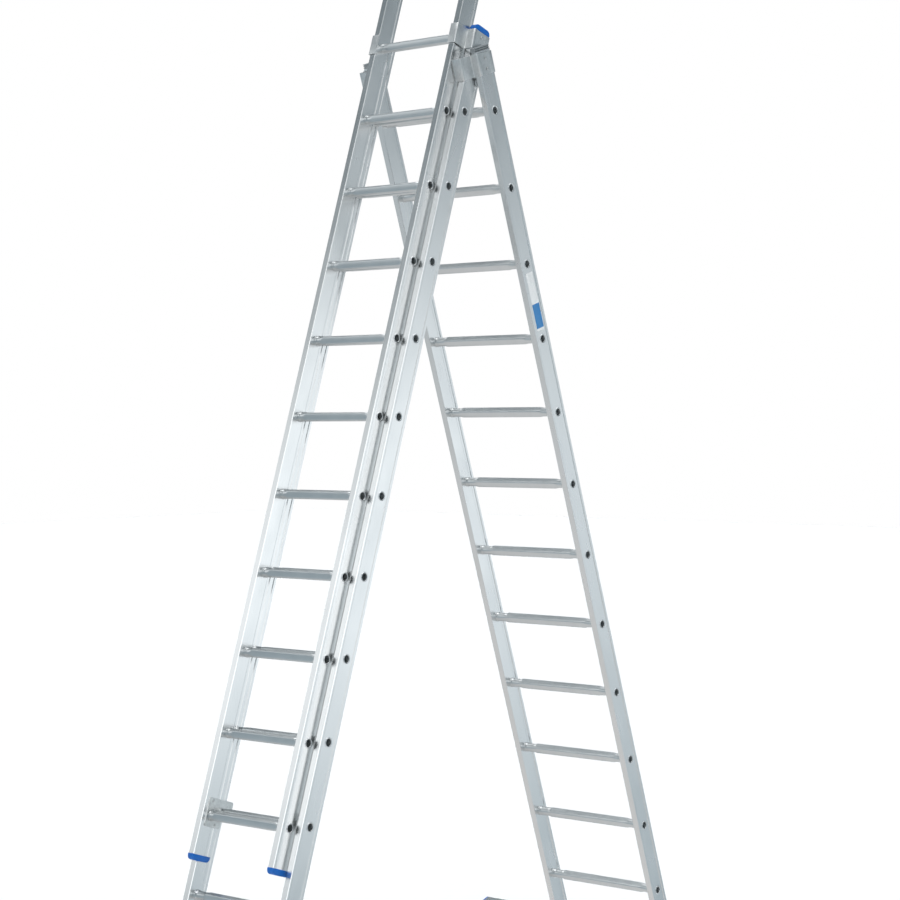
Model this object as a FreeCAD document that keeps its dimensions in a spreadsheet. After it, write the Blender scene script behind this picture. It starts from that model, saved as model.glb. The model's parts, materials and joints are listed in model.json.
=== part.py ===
# Three-section combination ladder, standing as a stepladder with its upper section run out.
#
# The lower section (widest) is the rear leg, the middle section is the front leg, and the
# upper section (narrowest) rides in front of the middle one. Millimetres, +Z up, X along the
# rungs, -Y to the front. The origin is on the floor, midway between the four feet.
#
# Every piece is drawn in the frame of its own leg: Z runs up the leg, Y is the leg's depth
# with -Y towards the front, and the frame's origin is the apex, where the middle planes of
# the two legs cross. A distance measured down the leg from the apex is called a drop.
import FreeCAD, Part
import os
import Sketcher
from FreeCAD import Placement, Rotation, Vector

doc = FreeCAD.newDocument("CombinationLadder")
sizes = doc.addObject("Spreadsheet::Sheet", "Sizes")

DRIVING = [
    # the stand
    ("lean", 18.42, "lean of each leg from the vertical, degrees"),
    ("rung_pitch", 280, "rung to rung"),
    ("rung_count", 12, "rungs in each section"),
    ("lower_first", 192, "apex to the lower section's top rung"),
    ("middle_first", 207, "apex to the middle section's top rung"),
    ("steps_out", 2, "rungs that the upper section is run out"),
    ("upper_drop", 17, "upper rungs hang this far below the middle ones"),
    ("nest_clear", 1.5, "upper stiles clear the middle rungs' necks"),
    ("fold_clear", 3, "middle stiles clear the lower rungs' necks, folded"),
    # the stiles
    ("upper_width", 398, "over the upper section's stiles"),
    ("upper_side_gap", 10, "beside each upper stile, to the middle one"),
    ("lower_side_gap", 8, "beside each middle stile, to the lower one"),
    ("stile_depth", 78, "front to back"),
    ("stile_thick", 25, "across"),
    ("stile_wall", 1.5, "wall of the hollow section"),
    ("edge_cut", 2, "bevel on the stile's four long corners"),
    ("lip_wide", 8, "raised lip at the front of the outer face"),
    ("rear_lip_wide", 11, "raised lip at the back of both broad faces"),
    ("web_recess", 2, "depth of the web below the lips"),
    ("web_bevel", 3, "slope between lip and web"),
    ("step_back", 13, "step on the inner face, behind the middle"),
    ("lower_head", 212, "lower stile above its top rung"),
    ("upper_head", 300, "upper stile above its top rung"),
    ("middle_tail", 200, "middle stile below its bottom rung"),
    ("upper_tail", 135, "upper stile below its bottom rung"),
    ("foot_height", 35, "front feet below the middle stiles"),
    # the rungs
    ("rung_side", 30, "square tube"),
    ("rung_round", 6, "corner radius of the tube"),
    ("rung_end_round", 4, "rounding where the tube is drawn down to its neck"),
    ("rung_wall", 2, "wall of the tube"),
    ("neck_root", 6, "solid stretch behind that rounding"),
    ("neck_radius", 14, "round neck through the stile"),
    ("neck_wall", 2, "wall of the neck"),
    ("neck_room", 4, "between a hook plate and a middle rung's tube"),
    ("neck_short", 20, "neck inside the upper stiles"),
    ("bead_radius", 18, "bead against the stile's inner face"),
    ("bead_thick", 3, "thickness of the bead"),
    ("flare_radius", 16.5, "flared end on the stile's outer face"),
    ("flare_thick", 1.5, "thickness of the flare"),
    # the guide brackets
    ("bracket_wall", 4, "extrusion wall"),
    ("bracket_gap", 1.5, "running gap round the stile it guides"),
    ("lower_bracket_rise", 206, "top of the lower bracket above the top rung"),
    ("bracket_clear", 3, "gap between the brackets when folded"),
    ("middle_bracket_long", 74, "length of the middle bracket"),
    ("stile_past", 2, "middle stile past the top of its bracket"),
    ("lip_cover", 29, "width of the middle bracket's front lip"),
    ("stop_gap", 0.3, "gap at the opening stop"),
    ("notch_rise", 47, "bevel at the middle bracket's lower rear corner"),
    ("rivet_radius", 3, "shank"),
    ("rivet_tail", 1.5, "shank past the wall it holds"),
    ("rivet_head", 5.5, "radius of the head"),
    ("rivet_dome", 2, "height of the head"),
    # the hinge
    ("pin_radius", 6, "hinge pin"),
    ("pin_gap", 0.05, "running clearance of the pin"),
    ("pin_short", 7, "pin stops this far before a stile's far face"),
    ("spacer_radius", 14, "spacer between the stiles"),
    ("spacer_gap", 0.3, "gap beside the spacer"),
    # the hooks
    ("hook_thick", 3, "plate"),
    ("hook_top", 42, "plate above the held rung's axis"),
    ("hook_low", 55, "plate below that axis"),
    ("hook_heel", 5, "back of the plate's lower half, in front of that axis"),
    ("hook_edge", 4, "plate in front of the hole for the upper rung's bead"),
    ("hook_clear", 0.8, "plate clears the lower section's rungs, folded"),
    ("hook_gap", 0.5, "play over the rung's neck and round the bead"),
    ("hook_round", 8, "corner radius"),
    ("hook_rivet_front", 16, "upper rivet from the plate's front"),
    ("hook_rivet_top", 10, "upper rivet from the plate's top"),
    ("hook_rivet_back", 47, "lower rivet from the plate's front"),
    ("hook_rivet_low", 9, "lower rivet from the plate's foot"),
    # caps, plugs and feet
    ("cap_height", 20, "end cap past the stile"),
    ("cap_round", 13, "rounding of the cap's front and rear"),
    ("plug_long", 12, "plug of an end cap or a front foot, inside the stile"),
    ("long_plug", 30, "plug inside a lower stile's foot and inside the bar"),
    ("plug_gap", 0.2, "play round the plug"),
    ("top_plug_height", 17, "plug on the lower stile's head"),
    # the stabiliser
    ("bar_length", 1340, "cross bar under the lower section"),
    ("bar_clear", 2, "bar clears the middle stiles, folded"),
    ("bar_height", 32, "along the leg"),
    ("bar_wall", 2.5, "wall of the bar"),
    ("bar_round", 5, "corner radius"),
    ("bar_foot_height", 25, "rear feet below the bar"),
    ("foot_long", 70, "foot along the bar"),
    ("foot_end", 6, "foot past the end of the bar"),
    ("bolt_radius", 4, "bar bolts"),
    ("bolt_grip", 22, "bolt inside the stile's plug"),
    ("bolt_head", 7, "radius of their heads"),
    ("bolt_head_high", 4, "height of their heads"),
]
for row, (alias, number, meaning) in enumerate(DRIVING, 1):
    sizes.set("A%d" % row, alias)
    sizes.set("B%d" % row, str(number))
    sizes.setAlias("B%d" % row, alias)
    sizes.set("C%d" % row, meaning)
doc.recompute()


def size(name):
    """Reference to one cell of the sheet."""
    return "Sizes." + name


def value(expression):
    """Number that an expression on the sheet gives now."""
    return float(sizes.evalExpression(expression))


# --- places worked out from the driving sizes -------------------------------------------
HALF = "(Sizes.stile_depth / 2)"
SPREAD = "(2 * Sizes.lean)"
RUN = "((Sizes.rung_count - 1) * Sizes.rung_pitch)"
LEG_REACH = "(Sizes.middle_first + %s + Sizes.middle_tail + Sizes.foot_height)" % RUN
APEX_HEIGHT = "(%s * cos(Sizes.lean))" % LEG_REACH
MIDDLE_WIDTH = "(Sizes.upper_width + 2 * (Sizes.stile_thick + Sizes.upper_side_gap))"
LOWER_WIDTH = "(%s + 2 * (Sizes.stile_thick + Sizes.lower_side_gap))" % MIDDLE_WIDTH
NEST_GAP = "(%s + Sizes.neck_radius + Sizes.nest_clear)" % HALF
FOLD_GAP = "(%s + Sizes.neck_radius + Sizes.fold_clear)" % HALF
PIVOT_DEPTH = "(%s / 2)" % FOLD_GAP
PIVOT_DROP = "(%s / tan(Sizes.lean))" % PIVOT_DEPTH
NECK_LONG = "(Sizes.upper_side_gap + Sizes.stile_thick + Sizes.hook_thick + Sizes.neck_room)"
UPPER_FIRST = "(Sizes.middle_first + Sizes.upper_drop - Sizes.steps_out * Sizes.rung_pitch)"

# drops of the brackets' ends; the lower bracket's foot is the stop that limits the spread
STOP_FACE = "(%s + %s)" % (PIVOT_DEPTH, HALF)
STOP_RISE = "((%s + Sizes.stop_gap - (%s + Sizes.bracket_gap) * cos(%s)) / sin(%s))" % (
    STOP_FACE, STOP_FACE, SPREAD, SPREAD)
LOWER_BRACKET_TOP = "(Sizes.lower_first - Sizes.lower_bracket_rise)"
LOWER_BRACKET_FOOT = "(%s - %s)" % (PIVOT_DROP, STOP_RISE)
MIDDLE_BRACKET_FOOT = "(%s - Sizes.bracket_clear)" % LOWER_BRACKET_TOP
MIDDLE_BRACKET_TOP = "(%s - Sizes.middle_bracket_long)" % MIDDLE_BRACKET_FOOT

MIDDLE_HEAD = "(Sizes.middle_first - %s + Sizes.stile_past)" % MIDDLE_BRACKET_TOP
LOWER_TAIL = "(%s - Sizes.bar_foot_height - Sizes.bar_height - %s - Sizes.lower_first)" % (
    LEG_REACH, RUN)

SECTIONS = {
    # leg, width, depth of the section's plane, drop of the top rung, head, tail, neck
    "lower": ("rear", LOWER_WIDTH, "0", size("lower_first"),
              size("lower_head"), LOWER_TAIL, NECK_LONG),
    "middle": ("front", MIDDLE_WIDTH, "0", size("middle_first"),
               MIDDLE_HEAD, size("middle_tail"), NECK_LONG),
    "upper": ("front", size("upper_width"), "(-%s)" % NEST_GAP, UPPER_FIRST,
              size("upper_head"), size("upper_tail"), size("neck_short")),
}
SIDES = (("left", -1), ("right", 1))


def stand(thing, leg):
    """Put a finished sub-part in the frame of its leg."""
    axis = Vector(-1, 0, 0) if leg == "front" else Vector(1, 0, 0)
    thing.Placement = Placement(Vector(), Rotation(axis, value(size("lean"))))
    thing.setExpression("Placement.Base.z", APEX_HEIGHT)
    thing.setExpression("Placement.Rotation.Angle", size("lean"))


def body(label, leg):
    part = doc.addObject("PartDesign::Body", label)
    part.Label = label
    stand(part, leg)
    return part


def sketch(part, plane, shift=("0", "0", "0"), turn=None):
    """Sketch on an origin plane of the body. The shift is along the sketch's X, Y and normal:
    body X, Y, Z on XY_Plane and body Y, Z, X on YZ_Plane."""
    drawn = part.newObject("Sketcher::SketchObject", part.Name + "_sketch")
    base = [plane_ for plane_ in part.Origin.OriginFeatures if plane_.Role == plane][0]
    drawn.AttachmentSupport = [(base, "")]
    drawn.MapMode = "FlatFace"
    if turn:
        drawn.AttachmentOffset = Placement(Vector(), Rotation(Vector(0, 0, 1), value(turn)))
        drawn.setExpression("AttachmentOffset.Rotation.Angle", turn)
    for letter, expression in zip("xyz", shift):
        drawn.setExpression("AttachmentOffset.Base." + letter, expression)
    return drawn


def pin_point(drawn, geometry, end, point):
    """Tie one point of the sketch to its two coordinates."""
    for kind, expression in zip(("DistanceX", "DistanceY"), point):
        tie = Sketcher.Constraint(kind, -1, 1, geometry, end, value(expression))
        index = drawn.addConstraint(tie)
        drawn.setExpression("Constraints[%d]" % index, expression)


def outline(drawn, points):
    """Closed outline of straight lines through points given as pairs of expressions."""
    first = drawn.GeometryCount
    spots = [Vector(value(across), value(along), 0) for across, along in points]
    for start, end in zip(spots, spots[1:] + spots[:1]):
        drawn.addGeometry(Part.LineSegment(start, end), False)
    for index, point in enumerate(points):
        following = first + (index + 1) % len(points)
        drawn.addConstraint(Sketcher.Constraint("Coincident", first + index, 2, following, 1))
        pin_point(drawn, first + index, 1, point)


def rectangle(drawn, low, high):
    corners = [(low[0], low[1]), (high[0], low[1]), (high[0], high[1]), (low[0], high[1])]
    outline(drawn, corners)


def circle(drawn, point, radius):
    spot = Vector(value(point[0]), value(point[1]), 0)
    index = drawn.addGeometry(Part.Circle(spot, Vector(0, 0, 1), value(radius)), False)
    pin_point(drawn, index, 3, point)
    tie = drawn.addConstraint(Sketcher.Constraint("Radius", index, value(radius)))
    drawn.setExpression("Constraints[%d]" % tie, radius)


def pad(part, drawn, length, midplane=False):
    feature = part.newObject("PartDesign::Pad", part.Name + "_pad")
    feature.Profile = drawn
    feature.Midplane = midplane
    feature.setExpression("Length", length)
    return feature


def pocket(part, drawn, length=None):
    """Cut both ways from the sketch: right through, or over the given length."""
    feature = part.newObject("PartDesign::Pocket", part.Name + "_pocket")
    feature.Profile = drawn
    feature.Midplane = True
    if length:
        feature.setExpression("Length", length)
    else:
        feature.Type = "ThroughAll"
    return feature


def edges_along(direction, keep=lambda centre: True):
    """Test for straight edges along a direction whose centre also passes a test."""
    def chosen(edge):
        if edge.Curve.TypeId != "Part::GeomLine":
            return False
        parallel = abs(edge.tangentAt(edge.FirstParameter).dot(direction)) > 0.999
        return parallel and keep(edge.CenterOfMass)
    return chosen


def edges_at_x(edge, place):
    """True for an edge that lies in either end face of a bar along X."""
    box = edge.BoundBox
    return box.XLength < 0.01 and abs(abs(edge.CenterOfMass.x) - place) < 0.01


def round_off(part, feature, radius, chosen):
    """Fillet the feature's edges that pass the test."""
    doc.recompute()
    names = ["Edge%d" % number for number, edge in enumerate(feature.Shape.Edges, 1)
             if chosen(edge)]
    rounding = part.newObject("PartDesign::Fillet", part.Name + "_fillet")
    rounding.Base = (feature, names)
    rounding.setExpression("Radius", radius)
    return rounding


def across(side, width, inward):
    """X of a point that lies a distance inward from the outer face of a stile."""
    return "(%d * (%s / 2 - (%s)))" % (side, width, inward)


def cylinder(name, start, length, radius, direction="x"):
    """Round bar along the leg frame's X or Z, from a start point given as expressions."""
    bar = doc.addObject("Part::Cylinder", name)
    turn = Rotation(Vector(0, 1, 0), 90) if direction == "x" else Rotation()
    bar.Placement = Placement(Vector(), turn)
    for letter, expression in zip("xyz", start):
        bar.setExpression("Placement.Base." + letter, expression)
    bar.setExpression("Height", length)
    bar.setExpression("Radius", radius)
    return bar


def joined(name, pieces):
    whole = doc.addObject("Part::MultiFuse", name)
    whole.Shapes = pieces
    return whole


def group(label, leg, pieces):
    """Several like pieces, each its own solid, in one node."""
    gathered = doc.addObject("Part::Compound", label)
    gathered.Label = label
    gathered.Links = pieces
    stand(gathered, leg)
    return gathered


# --- stiles -----------------------------------------------------------------------------
def stile_outline(side, width, depth):
    """Hollow section with a recessed web on the outer face and a step on the inner one."""
    front = "(%s - %s)" % (depth, HALF)
    rear = "(%s + %s)" % (depth, HALF)
    step = "(%s + Sizes.step_back)" % depth
    thick = size("stile_thick")
    points = [
        (size("edge_cut"), front),
        ("%s - Sizes.edge_cut" % thick, front),
        (thick, "%s + Sizes.edge_cut" % front),
        (thick, step),
        ("%s - Sizes.web_recess" % thick, "%s + Sizes.web_bevel" % step),
        ("%s - Sizes.web_recess" % thick, "%s - Sizes.rear_lip_wide - Sizes.web_bevel" % rear),
        (thick, "%s - Sizes.rear_lip_wide" % rear),
        (thick, "%s - Sizes.edge_cut" % rear),
        ("%s - Sizes.edge_cut" % thick, rear),
        (size("edge_cut"), rear),
        ("0", "%s - Sizes.edge_cut" % rear),
        ("0", "%s - Sizes.rear_lip_wide" % rear),
        (size("web_recess"), "%s - Sizes.rear_lip_wide - Sizes.web_bevel" % rear),
        (size("web_recess"), "%s + Sizes.lip_wide + Sizes.web_bevel" % front),
        ("0", "%s + Sizes.lip_wide" % front),
        ("0", "%s + Sizes.edge_cut" % front),
    ]
    return [(across(side, width, inward), deep) for inward, deep in points]


HOLLOW_OUTER = "(Sizes.web_recess + Sizes.stile_wall)"
HOLLOW_INNER = "(Sizes.stile_thick - Sizes.web_recess - Sizes.stile_wall)"


def hollow_corners(side, width, depth, gap="0"):
    """Opposite corners of the stile's hollow, drawn in by a gap."""
    low = (across(side, width, "%s + %s" % (HOLLOW_OUTER, gap)),
           "%s - %s + Sizes.stile_wall + %s" % (depth, HALF, gap))
    high = (across(side, width, "%s - %s" % (HOLLOW_INNER, gap)),
            "%s + %s - Sizes.stile_wall - %s" % (depth, HALF, gap))
    return low, high


def make_stile(section, name, side):
    leg, width, depth, first, head, tail, _ = SECTIONS[section]
    part = body("%s_stile_%s" % (section, name), leg)
    foot = "-(%s + %s + %s)" % (first, RUN, tail)
    profile = sketch(part, "XY_Plane", ("0", "0", foot))
    outline(profile, stile_outline(side, width, depth))
    rectangle(profile, *hollow_corners(side, width, depth))
    pad(part, profile, "%s + %s + %s" % (head, RUN, tail))
    hole = sketch(part, "YZ_Plane")
    circle(hole, (depth, "-(%s)" % first), size("neck_radius"))
    through = pocket(part, hole)
    holes = part.newObject("PartDesign::LinearPattern", part.Name + "_holes")
    holes.Originals = [through]
    axis = [line for line in part.Origin.OriginFeatures if line.Role == "Z_Axis"][0]
    holes.Direction = (axis, [""])
    holes.Reversed = True
    holes.setExpression("Length", RUN)
    holes.setExpression("Occurrences", size("rung_count"))
    part.Tip = holes
    return part


def bore_wall(stile, face, reach, radius, spots):
    """Round holes through the wall of a stile that the plane at X = face lies on."""
    holes = sketch(stile, "YZ_Plane", ("0", "0", face))
    for spot in spots:
        circle(holes, spot, radius)
    pocket(stile, holes, "2 * %s" % reach)


def rivet_spots(top, foot):
    """Depth and height of a bracket's two rivets."""
    quarter = "(%s - %s) / 4" % (foot, top)
    return [("0", "-(%s + %s)" % (top, quarter)), ("0", "-(%s - %s)" % (foot, quarter))]


UPPER_LAST = "(%s + %s)" % (UPPER_FIRST, RUN)
HELD_RUNG = "(%s - Sizes.upper_drop)" % UPPER_LAST
HOOK_FRONT = "(%s + Sizes.bead_radius + Sizes.hook_gap + Sizes.hook_edge)" % NEST_GAP
HOOK_RIVETS = [
    ("Sizes.hook_rivet_front - %s" % HOOK_FRONT,
     "Sizes.hook_top - Sizes.hook_rivet_top - %s" % HELD_RUNG),
    ("Sizes.hook_rivet_back - %s" % HOOK_FRONT,
     "Sizes.hook_rivet_low - Sizes.hook_low - %s" % HELD_RUNG),
]
PIN_INSIDE = "(Sizes.stile_thick - Sizes.pin_short)"
WALL_REACH = "(Sizes.web_recess + Sizes.stile_wall + Sizes.rivet_tail)"
FIXINGS = {
    # inward place of the drilled face, rivets in it, hinge pin's radius, inward place of the
    # face that looks at the hinge, depth of the pin
    "lower": ("0", rivet_spots(LOWER_BRACKET_TOP, LOWER_BRACKET_FOOT),
              "(Sizes.pin_radius + Sizes.pin_gap)", size("stile_thick"), "(-%s)" % PIVOT_DEPTH),
    "middle": ("0", rivet_spots(MIDDLE_BRACKET_TOP, MIDDLE_BRACKET_FOOT),
               size("pin_radius"), "0", PIVOT_DEPTH),
    "upper": (size("stile_thick"), HOOK_RIVETS, None, None, None),
}

for section, (drilled, rivets, pin_hole, hinged, pin_depth) in FIXINGS.items():
    width = SECTIONS[section][1]
    for name, side in SIDES:
        stile = make_stile(section, name, side)
        bore_wall(stile, across(side, width, drilled), WALL_REACH, size("rivet_radius"), rivets)
        if pin_hole:
            bore_wall(stile, across(side, width, hinged), PIN_INSIDE, pin_hole,
                      [(pin_depth, "-" + PIVOT_DROP)])


# --- rungs ------------------------------------------------------------------------------
def neck_outline(width):
    """Half section of both necks, their beads and flared ends, from the rung's axis out."""
    end = "(%s / 2 - Sizes.web_recess + Sizes.flare_thick)" % width
    web = "(%s / 2 - Sizes.web_recess)" % width
    face = "(%s / 2 - Sizes.stile_thick)" % width
    bead = "(%s - Sizes.bead_thick)" % face
    steps = [
        (end, "0"),
        (end, size("flare_radius")),
        (web, size("flare_radius")),
        (web, size("neck_radius")),
        (face, size("neck_radius")),
        (face, size("bead_radius")),
        (bead, size("bead_radius")),
        (bead, size("neck_radius")),
    ]
    mirrored = [("-" + along, radius) for along, radius in reversed(steps)]
    return steps + mirrored


def make_rung(section, index):
    leg, width, depth, first, _, _, neck = SECTIONS[section]
    part = body("%s_rung_%02d" % (section, index + 1), leg)
    drop = "-(%s + %d * Sizes.rung_pitch)" % (first, index)
    tube_half = "(%s / 2 - Sizes.stile_thick - %s)" % (width, neck)
    half_side = "(Sizes.rung_side / 2)"
    square = sketch(part, "YZ_Plane", (depth, drop, "0"), size("lean"))
    rectangle(square, ("-" + half_side, "-" + half_side), (half_side, half_side))
    tube = pad(part, square, "2 * " + tube_half, midplane=True)
    tube = round_off(part, tube, size("rung_round"), edges_along(Vector(1, 0, 0)))
    end = value(tube_half)
    round_off(part, tube, size("rung_end_round"), lambda edge: edges_at_x(edge, end))
    necks = sketch(part, "XY_Plane", ("0", depth, drop))
    outline(necks, neck_outline(width))
    turned = part.newObject("PartDesign::Revolution", part.Name + "_necks")
    turned.Profile = necks
    turned.ReferenceAxis = (necks, ["H_Axis"])
    inner = "(%s - Sizes.rung_wall)" % half_side
    inside = sketch(part, "YZ_Plane", (depth, drop, "0"), size("lean"))
    rectangle(inside, ("-" + inner, "-" + inner), (inner, inner))
    pocket(part, inside, "2 * (%s - Sizes.neck_root)" % tube_half)
    bore = sketch(part, "YZ_Plane", (depth, drop, "0"))
    circle(bore, ("0", "0"), "Sizes.neck_radius - Sizes.neck_wall")
    pocket(part, bore)
    return part


for section in SECTIONS:
    for index in range(int(value(size("rung_count")))):
        make_rung(section, index)


# --- guide brackets ---------------------------------------------------------------------
def bracket_outline(side, width, inner_width, reach, lip_end):
    """Stepped wall: down the carrying stile's outer face, in across its front, forward beside
    the guided stile, and in again across that stile's front."""
    wall = size("bracket_wall")
    beside = "(%s / 2 + Sizes.bracket_gap)" % inner_width
    points = [
        ("%s / 2" % width, HALF),
        ("%s / 2 + %s" % (width, wall), HALF),
        ("%s / 2 + %s" % (width, wall), "-%s - %s" % (HALF, wall)),
        ("%s + %s" % (beside, wall), "-%s - %s" % (HALF, wall)),
        ("%s + %s" % (beside, wall), "-%s - %s" % (reach, wall)),
        (lip_end, "-%s - %s" % (reach, wall)),
        (lip_end, "-" + reach),
        (beside, "-" + reach),
        (beside, "-" + HALF),
        ("%s / 2" % width, "-" + HALF),
    ]
    return [("%d * (%s)" % (side, x), y) for x, y in points]


def make_bracket(label, leg, side, points, top, foot):
    part = body(label, leg)
    profile = sketch(part, "XY_Plane", ("0", "0", "-" + foot))
    outline(profile, points)
    pad(part, profile, "%s - %s" % (foot, top))
    holes = sketch(part, "YZ_Plane")
    for spot in rivet_spots(top, foot):
        circle(holes, spot, size("rivet_radius"))
    pocket(part, holes)
    return part


def bevel_corner(bracket, foot):
    """Cut the lower rear corner of a bracket's outer wall on the slant."""
    corner = sketch(bracket, "YZ_Plane")
    below = "-%s - Sizes.bracket_wall" % foot
    outline(corner, [
        ("Sizes.bracket_wall - %s" % HALF, below),
        ("%s + Sizes.bracket_wall" % HALF, below),
        ("%s + Sizes.bracket_wall" % HALF, "Sizes.notch_rise - %s" % foot),
    ])
    pocket(bracket, corner)


for name, side in SIDES:
    reach = "(%s + %s + Sizes.bracket_gap)" % (NEST_GAP, HALF)
    lip_end = "Sizes.upper_width / 2 + Sizes.bracket_gap - Sizes.lip_cover"
    points = bracket_outline(side, MIDDLE_WIDTH, size("upper_width"), reach, lip_end)
    bracket = make_bracket("middle_bracket_" + name, "front", side, points,
                           MIDDLE_BRACKET_TOP, MIDDLE_BRACKET_FOOT)
    bevel_corner(bracket, MIDDLE_BRACKET_FOOT)

    reach = "(%s + %s + Sizes.bracket_gap)" % (FOLD_GAP, HALF)
    lip_end = "Sizes.upper_width / 2 + Sizes.bracket_gap"
    points = bracket_outline(side, LOWER_WIDTH, MIDDLE_WIDTH, reach, lip_end)
    make_bracket("lower_bracket_" + name, "rear", side, points,
                 LOWER_BRACKET_TOP, LOWER_BRACKET_FOOT)


# --- rivets -----------------------------------------------------------------------------
def low_end(side, near, far):
    """Lower end along X of a stretch that lies from near to far out from the middle."""
    return near if side > 0 else "-(%s)" % far


def rivet(name, side, spot, face, grip, facing):
    """Rivet along X whose head stands on a face. Facing is 1 where the head looks away from
    the middle of the ladder, and -1 where it looks towards it."""
    past = "%s + %d * Sizes.rivet_dome" % (face, facing)
    tail = "%s - %d * (%s)" % (face, facing, grip)
    head_span = (face, past) if facing > 0 else (past, face)
    stem_span = (tail, face) if facing > 0 else (face, tail)
    head = cylinder(name + "_head", (low_end(side, *head_span),) + spot,
                    size("rivet_dome"), size("rivet_head"))
    stem = cylinder(name + "_stem", (low_end(side, *stem_span),) + spot,
                    grip, size("rivet_radius"))
    return joined(name, [head, stem])


def rivet_group(label, leg, spots, face, thickness, facing):
    """Rivets that hold a plate of the given thickness on both stiles of a section."""
    grip = "%s + %s" % (thickness, WALL_REACH)
    pieces = []
    for name, side in SIDES:
        for number, spot in enumerate(spots, 1):
            piece = rivet("%s_%s_%d" % (label, name, number), side, spot, face, grip, facing)
            pieces.append(piece)
    group(label, leg, pieces)


rivet_group("middle_rivets", "front", rivet_spots(MIDDLE_BRACKET_TOP, MIDDLE_BRACKET_FOOT),
            "(%s / 2 + Sizes.bracket_wall)" % MIDDLE_WIDTH, size("bracket_wall"), 1)
rivet_group("lower_rivets", "rear", rivet_spots(LOWER_BRACKET_TOP, LOWER_BRACKET_FOOT),
            "(%s / 2 + Sizes.bracket_wall)" % LOWER_WIDTH, size("bracket_wall"), 1)
rivet_group("upper_rivets", "front", HOOK_RIVETS,
            "(Sizes.upper_width / 2 - Sizes.stile_thick - Sizes.hook_thick)",
            size("hook_thick"), -1)


# --- hooks of the upper section ---------------------------------------------------------
def make_hook(name, side):
    """Plate on the inner face that sits on the neck of a middle rung. The upper section's own
    bottom rung passes through it."""
    part = body("upper_hook_" + name, "front")
    middle = across(side, size("upper_width"), "Sizes.stile_thick + Sizes.hook_thick / 2")
    side_view = sketch(part, "YZ_Plane", ("0", "0", middle))
    seat = "(Sizes.neck_radius + Sizes.hook_gap)"
    axis = "-" + HELD_RUNG
    front = "-" + HOOK_FRONT
    rear = "(%s - Sizes.rung_side / sqrt(2) - Sizes.hook_clear)" % FOLD_GAP
    outline(side_view, [
        (front, "%s + Sizes.hook_top" % axis),
        (rear, "%s + Sizes.hook_top" % axis),
        (rear, "%s + %s" % (axis, seat)),
        ("-" + seat, "%s + %s" % (axis, seat)),
        ("-" + seat, "%s - %s" % (axis, seat)),
        ("-Sizes.hook_heel", "%s - %s - Sizes.hook_round" % (axis, seat)),
        ("-Sizes.hook_heel", "%s - Sizes.hook_low" % axis),
        (front, "%s - Sizes.hook_low" % axis),
    ])
    plate = pad(part, side_view, size("hook_thick"), midplane=True)
    rear_limit = value(rear) - 1
    low_limit = value("%s - Sizes.hook_low" % axis) + 1
    outer_corners = edges_along(Vector(1, 0, 0), lambda centre: centre.y > rear_limit
                                or centre.z < low_limit)
    round_off(part, plate, size("hook_round"), outer_corners)
    holes = sketch(part, "YZ_Plane")
    circle(holes, ("-" + NEST_GAP, "-" + UPPER_LAST), "Sizes.bead_radius + Sizes.hook_gap")
    for spot in HOOK_RIVETS:
        circle(holes, spot, size("rivet_radius"))
    pocket(part, holes)


for name, side in SIDES:
    make_hook(name, side)


# --- end caps, plugs and feet -----------------------------------------------------------
def stile_end(section, away):
    """Height of a stile's upper (1) or lower (-1) end in its leg's frame."""
    _, _, _, first, head, tail, _ = SECTIONS[section]
    if away > 0:
        return "(%s - %s)" % (head, first)
    return "(-(%s + %s + %s))" % (first, RUN, tail)


def add_plug(part, side, section, away, length=size("plug_long")):
    """Block inside the stile's hollow, from the stile's end inwards."""
    _, width, depth = SECTIONS[section][:3]
    end = stile_end(section, away)
    start = end if away < 0 else "%s - %s" % (end, length)
    plug = sketch(part, "XY_Plane", ("0", "0", start))
    rectangle(plug, *hollow_corners(side, width, depth, size("plug_gap")))
    pad(part, plug, length)


def end_block(name, side, section, away, side_points):
    """Block as thick as the stile, drawn from the side, past one end of a stile."""
    part = doc.addObject("PartDesign::Body", name)
    middle = across(side, SECTIONS[section][1], "Sizes.stile_thick / 2")
    side_view = sketch(part, "YZ_Plane", ("0", "0", middle))
    outline(side_view, side_points)
    return part, pad(part, side_view, size("stile_thick"), midplane=True)


def caps(label, section, away, height, rounding):
    """Pair of end caps whose far edges are rounded."""
    depth = SECTIONS[section][2]
    end = stile_end(section, away)
    far = "%s + %d * %s" % (end, away, height)
    front = "%s - %s" % (depth, HALF)
    rear = "%s + %s" % (depth, HALF)
    far_height = value(far)
    far_edges = edges_along(Vector(1, 0, 0),
                            lambda centre: abs(centre.z - far_height) < 0.01)
    pieces = []
    for name, side in SIDES:
        points = [(front, end), (rear, end), (rear, far), (front, far)]
        part, block = end_block("%s_%s" % (label, name), side, section, away, points)
        round_off(part, block, rounding, far_edges)
        add_plug(part, side, section, away)
        pieces.append(part)
    return pieces


def front_feet():
    """Feet of the front leg, cut level with the floor."""
    end = stile_end("middle", -1)
    floor_front = "-%s - %s * tan(Sizes.lean)" % (LEG_REACH, HALF)
    floor_rear = "-%s + %s * tan(Sizes.lean)" % (LEG_REACH, HALF)
    points = [("-" + HALF, end), (HALF, end), (HALF, floor_rear), ("-" + HALF, floor_front)]
    pieces = []
    for name, side in SIDES:
        part, _ = end_block("middle_foot_" + name, side, "middle", -1, points)
        add_plug(part, side, "middle", -1)
        pieces.append(part)
    return pieces


BAR_TOP = stile_end("lower", -1)
BAR_FOOT = "(%s - Sizes.bar_height)" % BAR_TOP
BAR_REAR = HALF
BAR_FRONT = "(-(%s - %s - Sizes.bar_clear))" % (FOLD_GAP, HALF)
BAR_MIDDLE = "((%s + %s) / 2)" % (BAR_FRONT, BAR_REAR)


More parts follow.
